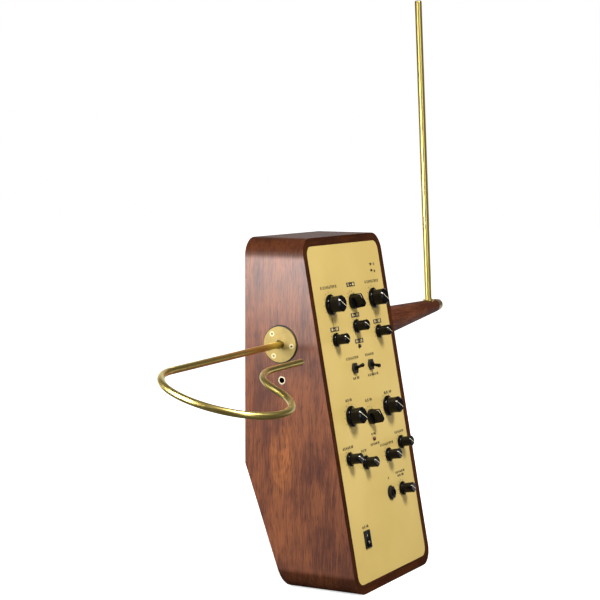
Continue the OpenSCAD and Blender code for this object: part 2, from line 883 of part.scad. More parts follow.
// Round knob: flared skirt, waist, and a bevelled face
module round_knob(skirt_r, face_r, h) {
    skirt_t = 1.5;
    bevel = face_r * 0.16;
    waist_r = face_r - 0.35;
    flare = skirt_r - waist_r;
    waist_z = knob_gap + skirt_t + flare;
    difference() {
        rotate_extrude() {
            difference() {
                translate([0, knob_gap]) square([skirt_r, skirt_t + flare]);
                translate([skirt_r, waist_z]) circle(flare);
            }
            polygon([[0, waist_z - eps], [waist_r, waist_z - eps], [face_r, h - bevel],
                     [face_r - bevel, h], [0, h]]);
        }
        translate([0, 0, knob_gap - eps])
            cylinder(h = bushing_top + loose - knob_gap, r = nut_af / sqrt(3) + loose);
        cylinder(h = knob_gap + knob_bore_l, r = shaft_d / 2 + fit / 2);
    }
}

module large_knob(place) {
    color("#101014")
    on_panel(place) rotate([0, 0, pointer_turn]) round_knob(large_skirt_r, large_face_r, large_h);
}

module small_knob(place) {
    color("#101014")
    on_panel(place) rotate([0, 0, pointer_turn]) round_knob(small_skirt_r, small_face_r, small_h);
}

// Selector knob: a round base under a tapering bar
module selector_knob(place) {
    base_t = 3.2;
    color("#101014")
    on_panel(place) rotate([0, 0, selector_turn])
        difference() {
            union() {
                translate([0, 0, knob_gap]) cylinder(h = base_t, r = selector_r);
                intersection() {
                    translate([0, 0, knob_gap])
                        cylinder(h = selector_h - knob_gap, r1 = selector_r, r2 = selector_r - 0.8);
                    translate([-selector_bar_w / 2, -far / 2, 0])
                        cube([selector_bar_w, far, selector_h]);
                }
                translate([0, 0, knob_gap + base_t - eps])
                    cylinder(h = 2.2, r1 = selector_r - 0.6, r2 = selector_bar_w / 2);
            }
            translate([0, 0, knob_gap - eps])
                cylinder(h = bushing_top + loose - knob_gap, r = nut_af / sqrt(3) + loose);
            cylinder(h = knob_gap + knob_bore_l, r = shaft_d / 2 + fit / 2);
        }
}

// Shaft from inside a pot's can up into its knob
module control_shaft(place) {
    shaft_low = -panel_t - pot_depth + 2;
    color("#c7c9cc")
    on_panel(place, shaft_low + eps)
        cylinder(h = knob_gap + knob_bore_l - shaft_low - 2 * eps, r = shaft_d / 2);
}

module top_left_knob() { large_knob(top_left); }
module top_right_knob() { large_knob(top_right); }
module top_selector() { selector_knob(top_middle); }
module upper_left_knob() { small_knob(upper_left); }
module upper_middle_knob() { small_knob(upper_middle); }
module upper_right_knob() { small_knob(upper_right); }
module middle_left_knob() { large_knob(middle_left); }
module middle_right_knob() { large_knob(middle_right); }
module middle_selector() { selector_knob(middle_middle); }
module outer_left_knob() { small_knob(outer_left); }
module inner_left_knob() { small_knob(inner_left); }
module inner_right_knob() { small_knob(inner_right); }
module outer_right_knob() { small_knob(outer_right); }
module headphone_level_knob() { small_knob(headphone_level); }

// ---- Volume side ----

module stand_flange() {
    color("#b9bcc0")
    difference() {
        union() {
            cylinder(h = stand_flange_t, r = stand_flange_r);
            cylinder(h = stand_bore_l, r = stand_boss_r);
        }
        translate([0, 0, -1]) cylinder(h = stand_bore_l + 2, r = stand_bore_d / 2);
        for (a = stand_screw_angles)
            rotate([180, 0, a]) translate([stand_screw_r, 0, 0]) csk_hole();
    }
}

// Round flange with the tube that holds the loop's leg
module volume_flange() {
    color("#c8a23c")
    difference() {
        union() {
            on_left(antenna_y, antenna_z) cylinder(h = flange_t, r = flange_d / 2);
            on_leg() translate([0, 0, -socket_l]) cylinder(h = socket_l + flange_t / 2, r = sleeve_r);
        }
        on_leg() translate([0, 0, 2 - socket_l]) cylinder(h = far, r = loop_d / 2 + fit);
        on_leg() translate([0, 0, flange_t - leg_recess]) cylinder(h = far, r = loop_d / 2 + 1.6);
        for (a = flange_screw_angles)
            on_left(antenna_y, antenna_z)
                rotate([0, 0, a]) translate([flange_screw_r, 0, flange_t]) csk_hole();
    }
}

module flange_screws() {
    color("#c8a23c") {
        for (a = flange_screw_angles)
            on_left(antenna_y, antenna_z)
                rotate([0, 0, a]) translate([flange_screw_r, 0, flange_t]) csk_screw();
        for (a = stand_screw_angles)
            rotate([180, 0, a]) translate([stand_screw_r, 0, 0]) csk_screw();
    }
}

module side_eyelet() {
    color("#c8a23c")
    on_left(eyelet_y, eyelet_z)
        difference() {
            union() {
                cylinder(h = 0.8, r = eyelet_r);
                translate([0, 0, -board_t]) cylinder(h = board_t + 0.4, r = eyelet_r - 0.75);
            }
            translate([0, 0, -board_t - 1]) cylinder(h = board_t + 3, r = eyelet_bore_r);
        }
}

module bent_rod(bend_r, from_angle, sweep, rod_r) {
    rotate([0, 0, from_angle])
        rotate_extrude(angle = sweep)
            translate([bend_r, 0]) circle(rod_r);
}

// Round end for a rod: a quarter-round edge and a flat middle, from z = 0 up
module crown(rod_r, round_r) {
    rotate_extrude() {
        translate([rod_r - round_r, 0])
            intersection() {
                circle(round_r);
                square(round_r);
            }
        square([rod_r - round_r + eps, round_r]);
    }
}

// One brass rod: straight leg, round end, neck and short free end.  Each stretch is a
// little thinner than the one before it and runs half a millimetre into it
module volume_loop() {
    r = loop_d / 2;
    lap = 0.5;
    step = 0.06;
    lap_end = lap / loop_r * 180 / PI;
    lap_neck = lap / neck_r * 180 / PI;
    color("#c8a23c")
    in_loop_plane() {
        translate([0, 2 - socket_l + eps, 0])
            rotate([-90, 0, 0]) cylinder(h = loop_leg + socket_l - 2 - eps, r = r);
        translate([loop_r, loop_leg])
            bent_rod(loop_r, turn_angle, 180 - turn_angle + lap_end, r - step);
        translate([loop_gap + neck_r, neck_p])
            bent_rod(neck_r, turn_angle + 180 - lap_neck, lap_neck - turn_angle, r - 2 * step);
        translate([loop_gap, loop_end, 0]) {
            rotate([-90, 0, 0]) cylinder(h = neck_p + lap - loop_end, r = r - 3 * step);
            rotate([90, 0, 0]) crown(r - 3 * step, 2.6);
        }
    }
}

// ---- Pitch side ----

module rod_pocket(clear) {
    on_rod() {
        translate([0, 0, -rod_seat - 2 - clear]) cylinder(h = far, r = bush_r + clear);
        translate([0, 0, arm_r(rod_s) - collar_t / 2 - clear])
            cylinder(h = far, r = collar_r + clear);
    }
}

// Turned and tapered walnut arm, cut flat where it meets the cabinet
module pitch_arm() {
    color("#6a3a26")
    difference() {
        on_arm(-10)
            cylinder(h = wood_l + 10 - cap_groove, r1 = arm_r(-10), r2 = arm_r(wood_l - cap_groove));
        translate([body_w / 2 - far, -far / 2, 0]) cube([far, far, far]);
        on_right(antenna_y, antenna_z)
            translate([0, 0, -1]) cylinder(h = arm_bolt_l + 1.5, r = arm_bolt_r + fit);
        on_arm(-5) cylinder(h = rod_s + 5, r = arm_duct_r);
        on_arm(spigot_s - spigot_gap) cylinder(h = 40, r = spigot_r + fit);
        rod_pocket(fit);
    }
}

// Hollow bolt that draws the arm against the cabinet; the lead runs through it
module arm_bolt() {
    head_h = 5;
    color("#b9bcc0")
    on_right(antenna_y, antenna_z)
        difference() {
            union() {
                translate([0, 0, -board_t - head_h]) cylinder(h = head_h, r = 17 / sqrt(3), $fn = 6);
                translate([0, 0, -board_t - eps])
                    cylinder(h = board_t + arm_bolt_l, r = arm_bolt_r);
            }
            translate([0, 0, -board_t - head_h - 1])
                cylinder(h = board_t + head_h + arm_bolt_l + 2, r = 2.6);
        }
}

// Brass cap with a round end and a spigot into the wood
module arm_cap() {
    round_r = 4.5;
    color("#b08a3c")
    on_arm() {
        translate([0, 0, spigot_s]) cylinder(h = wood_l + eps - spigot_s, r = spigot_r);
        translate([0, 0, wood_l - cap_groove]) cylinder(h = 1, r = arm_r(wood_l) - 1);
        translate([0, 0, wood_l])
            cylinder(h = cap_l - round_r, r1 = arm_r(wood_l), r2 = arm_tip_r);
        translate([0, 0, arm_l - round_r]) crown(arm_tip_r, round_r);
    }
}

module rod_bush() {
    color("#c8a23c")
    on_rod()
        difference() {
            union() {
                translate([0, 0, -rod_seat - 2]) cylinder(h = rod_seat + 2 + arm_r(rod_s), r = bush_r);
                translate([0, 0, arm_r(rod_s) - collar_t / 2]) cylinder(h = collar_t, r = collar_r);
            }
            translate([0, 0, -rod_seat]) cylinder(h = 40, r = rod_d / 2 + fit);
        }
}

// Straight rod with a crowned top
module pitch_rod() {
    round_r = 1.6;
    color("#c8a23c")
    on_rod()
        translate([0, 0, -rod_seat]) {
            cylinder(h = rod_l - round_r, r = rod_d / 2);
            translate([0, 0, rod_l - round_r]) crown(rod_d / 2, round_r);
        }
}

cabinet();
front_panel();
panel_nuts();
rear_panel();
machine_screws();
main_board();
board_spacers();
antenna_coils();
antenna_leads();
pot_bodies();
rotary_switch_bodies();
bushing_nuts();
toggle_bodies();
toggle_nuts();
power_switch_housing();
jack_sockets();
jack_nuts();
dc_inlet();
status_leds();
stand_flange();
volume_flange();
flange_screws();
side_eyelet();
pitch_arm();
arm_bolt();
arm_cap();
rod_bush();
volume_loop();
pitch_rod();
top_left_knob();
top_right_knob();
top_selector();
upper_left_knob();
upper_middle_knob();
upper_right_knob();
middle_left_knob();
middle_right_knob();
middle_selector();
outer_left_knob();
inner_left_knob();
inner_right_knob();
outer_right_knob();
headphone_level_knob();
control_shaft(top_left);  // top_left_shaft
control_shaft(top_right);  // top_right_shaft
control_shaft(top_middle);  // top_selector_shaft
control_shaft(upper_left);  // upper_left_shaft
control_shaft(upper_middle);  // upper_middle_shaft
control_shaft(upper_right);  // upper_right_shaft
control_shaft(middle_left);  // middle_left_shaft
control_shaft(middle_right);  // middle_right_shaft
control_shaft(middle_middle);  // middle_selector_shaft
control_shaft(outer_left);  // outer_left_shaft
control_shaft(inner_left);  // inner_left_shaft
control_shaft(inner_right);  // inner_right_shaft
control_shaft(outer_right);  // outer_right_shaft
control_shaft(headphone_level);  // headphone_level_shaft
left_toggle_lever();
right_toggle_lever();
power_rocker();
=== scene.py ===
# %% [markdown]
# # Dressing a theremin
# A theremin is played without touching it: one hand near the loop sets the volume and the
# other near the rod sets the pitch.  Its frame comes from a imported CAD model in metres.
# This lesson gives each piece its finish, prints the panel and lights the whole thing.

# %% Load the frame
import json
import math

import bmesh
import bpy
from mathutils import Matrix, Vector


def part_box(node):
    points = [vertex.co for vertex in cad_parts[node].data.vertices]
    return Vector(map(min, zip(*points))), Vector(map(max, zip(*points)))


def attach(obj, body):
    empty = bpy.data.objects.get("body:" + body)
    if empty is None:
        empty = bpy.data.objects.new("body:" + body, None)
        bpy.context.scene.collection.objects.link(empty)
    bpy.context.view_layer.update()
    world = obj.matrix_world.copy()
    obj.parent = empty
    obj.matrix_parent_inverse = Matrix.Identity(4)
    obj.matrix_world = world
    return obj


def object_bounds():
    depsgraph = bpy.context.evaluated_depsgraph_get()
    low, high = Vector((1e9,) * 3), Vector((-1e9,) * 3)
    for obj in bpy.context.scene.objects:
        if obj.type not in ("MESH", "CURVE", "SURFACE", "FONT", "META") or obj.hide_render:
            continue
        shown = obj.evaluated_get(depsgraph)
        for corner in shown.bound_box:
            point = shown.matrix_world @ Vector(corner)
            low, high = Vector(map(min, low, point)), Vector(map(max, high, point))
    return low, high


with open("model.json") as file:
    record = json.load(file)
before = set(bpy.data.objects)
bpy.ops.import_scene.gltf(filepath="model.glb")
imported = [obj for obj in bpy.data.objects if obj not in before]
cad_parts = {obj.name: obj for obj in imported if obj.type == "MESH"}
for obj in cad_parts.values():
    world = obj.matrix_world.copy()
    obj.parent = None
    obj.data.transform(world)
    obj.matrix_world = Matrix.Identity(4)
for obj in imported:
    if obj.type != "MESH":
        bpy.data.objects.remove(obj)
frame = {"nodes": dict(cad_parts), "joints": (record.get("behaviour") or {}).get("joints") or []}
nodes = frame["nodes"]
cad_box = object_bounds()
print("CAD nodes:", len(nodes), "box:", [tuple(round(c, 4) for c in p) for p in cad_box])

# %% [markdown]
# ## Camera
# The photograph was taken with a long lens from the front left, a little above the middle.
# A fit of the cabinet's corners gave the place, the lens and the small shift used here.
# A long lens keeps the upright edges parallel, as product pictures do.

# %% Place the camera
CAMERA_AT = (-1.89208, -0.926746, 0.520545)
LENS_MM, SENSOR_MM = 104.64, 36
SHIFT = (0.0025, 0.0215)
camera = bpy.data.objects.new("camera", bpy.data.cameras.new("camera"))
bpy.context.scene.collection.objects.link(camera)
bpy.context.scene.camera = camera
to_right = Vector((0.472133, -0.881525, 0.00212))
to_top = Vector((0.08141, 0.045996, 0.995619))
camera_turn = Matrix((to_right, to_top, to_right.cross(to_top))).transposed()
camera.matrix_world = Matrix.Translation(CAMERA_AT) @ camera_turn.to_4x4()
camera.data.sensor_width = SENSOR_MM
camera.data.lens = LENS_MM
camera.data.shift_x, camera.data.shift_y = SHIFT
camera.data.clip_start = 0.1
print("camera at", tuple(camera.location))

# %% [markdown]
# ## Node helpers
# Every material here is a small network of shader nodes.  Short helpers keep the networks
# readable: they add a node with its settings, link results by name, do a sum, mix two
# colours, and ask where a point lies on its object.

# %% Helpers that add and link nodes
def add_node(tree, kind, inputs=None, **settings):
    """Adds a node; an input is a plain value or another node's socket."""
    made = tree.nodes.new(kind)
    for key, value in settings.items():
        setattr(made, key, value)
    for key, value in (inputs or {}).items():
        if isinstance(value, bpy.types.NodeSocket):
            tree.links.new(value, made.inputs[key])
        else:
            made.inputs[key].default_value = value
    return made


def link_all(tree, node, results):
    """Links each result to the node's input of that name."""
    for key, result in results.items():
        tree.links.new(result, node.inputs[key])


def new_group(name, takes, gives):
    """A shader node group with named sockets, and its two ends."""
    group = bpy.data.node_groups.new(name, "ShaderNodeTree")
    for label, kind, value in takes:
        socket = group.interface.new_socket(label, in_out="INPUT", socket_type=kind)
        socket.default_value = value
    for label, kind in gives:
        group.interface.new_socket(label, in_out="OUTPUT", socket_type=kind)
    return group, group.nodes.new("NodeGroupInput"), group.nodes.new("NodeGroupOutput")


FLOAT, COLOUR = "NodeSocketFloat", "NodeSocketColor"
FINISH_SOCKETS = [("Colour", COLOUR), ("Roughness", FLOAT), ("Relief", FLOAT)]

# %% Helpers for sums, colours, places and noise
def maths(tree, operation, a, b=0.0, c=0.0):
    return add_node(tree, "ShaderNodeMath", {0: a, 1: b, 2: c}, operation=operation).outputs[0]


def pick(tree, share, a, b):
    """Goes from a to b as the share goes from 0 to 1."""
    return maths(tree, "MULTIPLY_ADD", share, maths(tree, "SUBTRACT", b, a), a)


def mix_colours(tree, share, a, b):
    return add_node(tree, "ShaderNodeMix", {0: share, 6: a, 7: b}, data_type="RGBA").outputs[2]


def smooth_step(tree, value, low, high):
    """Goes from 0 at low to 1 at high, whichever of them is the larger."""
    made = add_node(tree, "ShaderNodeMapRange",
                    {"Value": value, "From Min": low, "From Max": high},
                    interpolation_type="SMOOTHSTEP")
    return made.outputs["Result"]


def object_place(tree):
    """Where a point lies in its object's own axes, in metres."""
    return add_node(tree, "ShaderNodeTexCoord").outputs["Object"]


def apart(tree, vector):
    return add_node(tree, "ShaderNodeSeparateXYZ", {0: vector}).outputs


def together(tree, x, y, z):
    return add_node(tree, "ShaderNodeCombineXYZ", {0: x, 1: y, 2: z}).outputs[0]


def vector_value(tree, operation, a, b=(0.0, 0.0, 0.0)):
    """A single number from vectors, such as a length."""
    return add_node(tree, "ShaderNodeVectorMath", {0: a, 1: b},
                    operation=operation).outputs["Value"]


def noise(tree, place, scale, detail=2.0, rough=0.5):
    made = add_node(tree, "ShaderNodeTexNoise", {
        "Vector": place, "Scale": scale, "Detail": detail, "Roughness": rough})
    return made.outputs["Fac"]


def bump_normal(tree, height, depth, strength=1.0):
    """A normal from a height; depth is the bump's depth in metres."""
    made = add_node(tree, "ShaderNodeBump", {
        "Height": height, "Distance": depth, "Strength": strength})
    return made.outputs["Normal"]


# %% [markdown]
# ## Walnut
# Walnut shows long darker and paler streaks, fine fibre lines and short dark pores, all
# drawn out along the board.  Noise that is squeezed across the grain and stretched along
# it gives all three.  The group takes the distances across, along and into the board, so
# one recipe serves upright sides, the top and the turned arm.

# %% Walnut as a node group
walnut_group, wood_in, wood_out = new_group(
    "walnut_grain",
    [("Across", FLOAT, 0.0), ("Along", FLOAT, 0.0), ("Into", FLOAT, 0.0),
     ("Pale", COLOUR, (0.38, 0.2, 0.13, 1)), ("Deep", COLOUR, (0.09, 0.032, 0.018, 1)),
     ("Figure", FLOAT, 0.5)], FINISH_SOCKETS)
across, along, into = (wood_in.outputs[k] for k in ("Across", "Along", "Into"))


def wood(operation, a, b=0.0, c=0.0):
    return maths(walnut_group, operation, a, b, c)


def board_noise(across_scale, along_scale, detail):
    """Noise that is the same all through the board, for cloudy figure and gentle bends."""
    place = together(walnut_group, wood("MULTIPLY", across, across_scale),
                     wood("MULTIPLY", along, along_scale), wood("MULTIPLY", into, across_scale))
    return noise(walnut_group, place, 1.0, detail, 0.55)


SWAY = 0.016            # how far the lines wander sideways, in metres
sway = wood("SUBTRACT", board_noise(17.0, 9.0, 1.0), 0.5)
swayed = wood("MULTIPLY_ADD", sway, SWAY, across)


def grain_noise(across_scale, along_scale, detail):
    """Noise drawn out along the board, for lines that follow its sway."""
    place = together(walnut_group, wood("MULTIPLY", swayed, across_scale),
                     wood("MULTIPLY", along, along_scale),
                     wood("MULTIPLY", into, across_scale * 0.4))
    return noise(walnut_group, place, 1.0, detail, 0.62)


# %% Walnut's streaks, fibres and pores
PORE_COLOUR = (0.02, 0.008, 0.005, 1)
streaks = grain_noise(220.0, 6.0, 2.0)
fibres = grain_noise(1000.0, 38.0, 2.0)
pores = smooth_step(walnut_group, grain_noise(1500.0, 70.0, 1.0), 0.42, 0.32)
patches = board_noise(34.0, 15.0, 3.0)
tone = wood("MULTIPLY_ADD", streaks, 0.5,
            wood("MULTIPLY", patches, wood_in.outputs["Figure"]))
tone = smooth_step(walnut_group, wood("ADD", fibres, tone), 0.98, 1.66)
wood_colour = mix_colours(walnut_group, tone, wood_in.outputs["Deep"], wood_in.outputs["Pale"])
link_all(walnut_group, wood_out, {
    "Colour": mix_colours(walnut_group, wood("MULTIPLY", pores, 0.6), wood_colour, PORE_COLOUR),
    "Roughness": wood("MULTIPLY_ADD", fibres, 0.22, wood("MULTIPLY_ADD", pores, 0.15, 0.3)),
    "Relief": wood("SUBTRACT", fibres, pores)})
print("walnut group:", len(walnut_group.nodes), "nodes")

# %% [markdown]
# ## Metal that is handled, and moulded plastic
# Polished metal is never evenly bright: fingers leave duller clouds, and cleaning leaves
# hair-fine scratches.  Moulded plastic has a faint ripple and a little dust.  Both are
# groups that put out a colour, a roughness and a height for a Bump node.

# %% Handled metal as a node group
metal_group, metal_in, metal_out = new_group(
    "handled_metal",
    [("Metal", COLOUR, (0.8, 0.6, 0.25, 1)), ("Tarnish", COLOUR, (0.4, 0.24, 0.08, 1)),
     ("Tarnish share", FLOAT, 0.3), ("Polish", FLOAT, 0.12), ("Cloud size", FLOAT, 30.0),
     ("Speckle", FLOAT, 0.04)], FINISH_SOCKETS)
metal_place = object_place(metal_group)
clouds = noise(metal_group, metal_place, metal_in.outputs["Cloud size"], 4.0)
specks = noise(metal_group, metal_place, 900.0)
hairlines = add_node(metal_group, "ShaderNodeTexWave", {
    "Vector": metal_place, "Scale": 420.0, "Distortion": 9.0, "Detail": 3.0}).outputs["Fac"]
dull = smooth_step(metal_group, clouds, 0.42, 0.7)
tarnished = maths(metal_group, "MULTIPLY", dull, metal_in.outputs["Tarnish share"])
specked = maths(metal_group, "MULTIPLY_ADD", specks, metal_in.outputs["Speckle"],
                metal_in.outputs["Polish"])
link_all(metal_group, metal_out, {
    "Colour": mix_colours(metal_group, tarnished, metal_in.outputs["Metal"],
                          metal_in.outputs["Tarnish"]),
    "Roughness": maths(metal_group, "MULTIPLY_ADD", dull, 0.06, specked),
    "Relief": maths(metal_group, "ADD", hairlines, specks)})

# %% Moulded plastic as a node group
DUST_COLOUR = (0.35, 0.33, 0.3, 1)
plastic_group, plastic_in, plastic_out = new_group(
    "moulded_plastic",
    [("Plastic", COLOUR, (0.012, 0.012, 0.014, 1)), ("Dust", FLOAT, 0.15),
     ("Shine", FLOAT, 0.12)], FINISH_SOCKETS)
plastic_place = object_place(plastic_group)
ripple = noise(plastic_group, plastic_place, 260.0, 1.0)
dusty = noise(plastic_group, plastic_place, 2600.0)
smears = noise(plastic_group, plastic_place, 70.0, 3.0)
grains = maths(plastic_group, "MULTIPLY", smooth_step(plastic_group, dusty, 0.62, 0.72),
               plastic_in.outputs["Dust"])
link_all(plastic_group, plastic_out, {
    "Colour": mix_colours(plastic_group, grains, plastic_in.outputs["Plastic"], DUST_COLOUR),
    "Roughness": maths(plastic_group, "MULTIPLY_ADD", smears, 0.16,
                       maths(plastic_group, "MULTIPLY_ADD", grains, 0.6,
                             plastic_in.outputs["Shine"])),
    "Relief": maths(plastic_group, "ADD", ripple, grains)})
print("groups:", [g.name for g in bpy.data.node_groups])

# %% [markdown]
# ## Materials from the groups
# A material keeps its own Principled shader and puts one of the groups in front of it.
# The helpers below make the shader, place the group with this finish's values and turn
# the group's height into a bump a few hundredths of a millimetre deep.

# %% Helpers for materials
def new_material(name, metallic=0.0, **shader_values):
    material = bpy.data.materials.new(name)
    material.use_nodes = True
    shader = material.node_tree.nodes["Principled BSDF"]
    shader.inputs["Metallic"].default_value = metallic
    for key, value in shader_values.items():
        shader.inputs[key.replace("_", " ")].default_value = value
    return material, material.node_tree, shader


def place_group(tree, shader, group, values, depth):
    """Puts a group in front of a shader; depth is the bump's depth in metres."""
    placed = add_node(tree, "ShaderNodeGroup", values, node_tree=group)
    link_all(tree, shader, {"Base Color": placed.outputs["Colour"],
                            "Roughness": placed.outputs["Roughness"]})
    if depth:
        link_all(tree, shader, {
            "Normal": bump_normal(tree, placed.outputs["Relief"], depth, 0.6)})
    return placed


def metal(name, colour, tarnish, share, polish, cloud=30.0, depth=0.0000002, metallic=1.0):
    """Handled metal; a depth of 0 leaves out the specks as well as the scratches."""
    material, tree, shader = new_material(name, metallic)
    place_group(tree, shader, metal_group, {
        "Metal": (*colour, 1), "Tarnish": (*tarnish, 1), "Tarnish share": share,
        "Polish": polish, "Cloud size": cloud, "Speckle": 0.04 if depth else 0.0}, depth)
    return material


def plastic(name, colour, dust, shine, depth=0.00002, **shader_values):
    material, tree, shader = new_material(name, **shader_values)
    place_group(tree, shader, plastic_group,
                {"Plastic": (*colour, 1), "Dust": dust, "Shine": shine}, depth)
    return material


def fine_print(name, scale, dark, light, rough_gain=0.0, rough=0.5):
    """Ink or paint: two near colours, mixed by noise that also makes it uneven."""
    material, tree, shader = new_material(name)
    fleck = noise(tree, object_place(tree), scale)
    link_all(tree, shader, {
        "Base Color": mix_colours(tree, fleck, (*dark, 1), (*light, 1)),
        "Roughness": maths(tree, "MULTIPLY_ADD", fleck, rough_gain, rough)})
    return material


# %% [markdown]
# ## The cabinet's wood
# The sides are upright boards and the top wraps over them, so on both the grain changes
# from front to back.  The rim round the panel shows the boards' edges, where the lines
# follow the rim.  The rim, the top and the rounded corners are darker.  The left side has
# one large swirl in its figure, and a clear coat gives the flat sides their sheen.  The
# surface's own normal and place choose between these, so no unwrapping is needed.

# %% Where each kind of grain lies on the cabinet
HALF_WIDTH, HALF_WAY_UP = 0.105, 0.20827
STILE = (HALF_WIDTH - 0.0105, HALF_WIDTH - 0.0095)      # inner edge of the rim's uprights
CORNER_LIFT = (0.182, 0.19)                             # up or down from halfway
CORNER_REACH = (HALF_WIDTH - 0.0226, HALF_WIDTH - 0.0206)
WOOD_RELIEF = 0.00004
cabinet_wood, tree, shader = new_material("walnut_cabinet", Specular_IOR_Level=0.01,
                                          Coat_Roughness=0.31)
place_x, place_y, place_z = apart(tree, object_place(tree))
facing = apart(tree, add_node(tree, "ShaderNodeNewGeometry").outputs["Normal"])
side_x = maths(tree, "ABSOLUTE", place_x)
on_edge = smooth_step(tree, maths(tree, "ABSOLUTE", facing[1]), 0.8, 0.9)
on_top = smooth_step(tree, facing[2], 0.25, 0.75)
on_stile = smooth_step(tree, side_x, *STILE)
lift = maths(tree, "ABSOLUTE", maths(tree, "SUBTRACT", place_z, HALF_WAY_UP))
in_corner = maths(tree, "MULTIPLY", smooth_step(tree, lift, *CORNER_LIFT),
                  smooth_step(tree, side_x, *CORNER_REACH))
edge_across = pick(tree, on_stile, place_z, place_x)
edge_along = pick(tree, on_stile, place_x, place_z)
board_along = maths(tree, "ADD", place_z, side_x)

# %% The swirl in the left side's figure
SWIRL_AT, SWIRL_SIZE = (0.052, 0.165), (0.017, 0.052)   # back and up, in metres
bend = noise(tree, object_place(tree), 26.0, 3.0)


def from_swirl(place, middle, size):
    return maths(tree, "MULTIPLY", maths(tree, "SUBTRACT", place, middle), 1 / size)


swirl_reach = vector_value(tree, "LENGTH", together(
    tree, from_swirl(place_y, SWIRL_AT[0], SWIRL_SIZE[0]),
    from_swirl(place_z, SWIRL_AT[1], SWIRL_SIZE[1]), maths(tree, "MULTIPLY_ADD", bend, 3.0, -1.5)))
ragged = maths(tree, "MULTIPLY_ADD", bend, -1.6, maths(tree, "ADD", swirl_reach, 0.8))
swirl = maths(tree, "MULTIPLY", smooth_step(tree, place_x, 0.0, -0.05),
              smooth_step(tree, ragged, 1.3, 0.3))
wave = maths(tree, "SINE", maths(tree, "MULTIPLY_ADD", bend, 20.0,
                                 maths(tree, "MULTIPLY", swirl_reach, 26.0)))
rings = maths(tree, "MULTIPLY", swirl, maths(tree, "MULTIPLY_ADD", wave, 0.5, 0.5))

# %% Walnut for the cabinet
SIDE_PALE, SIDE_DEEP = (0.215, 0.071, 0.029, 1), (0.074, 0.026, 0.018, 1)
SWIRL_PALE, SWIRL_DEEP = (0.34, 0.115, 0.036, 1), (0.19, 0.062, 0.022, 1)
EDGE_PALE, EDGE_DEEP = (0.064, 0.0185, 0.0065, 1), (0.029, 0.0088, 0.0038, 1)
CORNER_SHARE, TOP_SHARE = 0.85, 0.82
COAT = 0.65
deeper = maths(tree, "MAXIMUM", on_edge,
               maths(tree, "MAXIMUM", maths(tree, "MULTIPLY", in_corner, CORNER_SHARE),
                     maths(tree, "MULTIPLY", on_top, TOP_SHARE)))
pale = mix_colours(tree, swirl, SIDE_PALE, SWIRL_PALE)
deep = mix_colours(tree, maths(tree, "MULTIPLY_ADD", rings, -0.8, swirl), SIDE_DEEP, SWIRL_DEEP)
place_group(tree, shader, walnut_group, {
    "Across": pick(tree, on_edge, place_y, edge_across),
    "Along": pick(tree, on_edge, board_along, edge_along),
    "Into": pick(tree, on_edge, side_x, place_y),
    "Pale": mix_colours(tree, deeper, pale, EDGE_PALE),
    "Deep": mix_colours(tree, deeper, deep, EDGE_DEEP), "Figure": 1.1}, WOOD_RELIEF)
link_all(tree, shader, {"Coat Weight": maths(tree, "MULTIPLY_ADD", deeper, -COAT, COAT)})

# %% Walnut for the turned arm
arm_wood, tree, shader = new_material("walnut_arm", Specular_IOR_Level=0.01)
arm_x, arm_y, arm_z = apart(tree, object_place(tree))
place_group(tree, shader, walnut_group, {
    "Across": arm_z, "Along": arm_x, "Into": arm_y, "Figure": 0.8,
    "Pale": (0.22, 0.068, 0.027, 1), "Deep": (0.065, 0.02, 0.01, 1)}, WOOD_RELIEF)
print("cabinet nodes:", len(cabinet_wood.node_tree.nodes), "arm nodes:", len(tree.nodes))

# %% [markdown]
# ## Panel, brass, steel and plastics
# The panel is satin metal in a warm brass colour: mostly a coloured surface with a soft
# metallic shine, and a grain too fine to see from a distance.  The rods are polished
# solid brass.  Knobs are gloss black, and the small switches a little duller.

# %% The panel's satin finish
panel_finish, tree, shader = new_material("panel_satin", 0.25)
grain_at = object_place(tree)
peel = noise(tree, grain_at, 1500.0)
drift = smooth_step(tree, noise(tree, grain_at, 12.0), 0.3, 0.7)
panel_colour = mix_colours(tree, drift, (0.70, 0.505, 0.15, 1), (0.75, 0.55, 0.175, 1))
link_all(tree, shader, {
    "Base Color": mix_colours(tree, maths(tree, "MULTIPLY", peel, 0.12), panel_colour,
                              (0.52, 0.36, 0.1, 1)),
    "Roughness": maths(tree, "MULTIPLY_ADD", peel, 0.2, 0.34),
    "Normal": bump_normal(tree, peel, 0.00002, 0.5)})

# %% Metals
brass = metal("brass_polished", (0.84, 0.67, 0.2), (0.42, 0.28, 0.08), 0.4, 0.29,
              cloud=26.0, depth=0.0)
brass_flange = metal("brass_flange", (0.268, 0.19, 0.042), (0.175, 0.115, 0.024), 0.5, 0.42,
                     cloud=60.0, metallic=0.3)
brass_cap = metal("brass_cap", (0.24, 0.15, 0.055), (0.12, 0.06, 0.025), 0.5, 0.3,
                  cloud=60.0, metallic=0.7)
steel_plated = metal("steel_plated", (0.62, 0.63, 0.65), (0.4, 0.4, 0.38), 0.3, 0.24, cloud=80.0)
steel_shaft = metal("steel_shaft", (0.66, 0.67, 0.69), (0.45, 0.45, 0.44), 0.2, 0.18, cloud=90.0)
black_metal = metal("black_metal", (0.008, 0.008, 0.009), (0.016, 0.016, 0.016), 0.4, 0.34,
                    cloud=50.0, depth=0.00001, metallic=0.1)

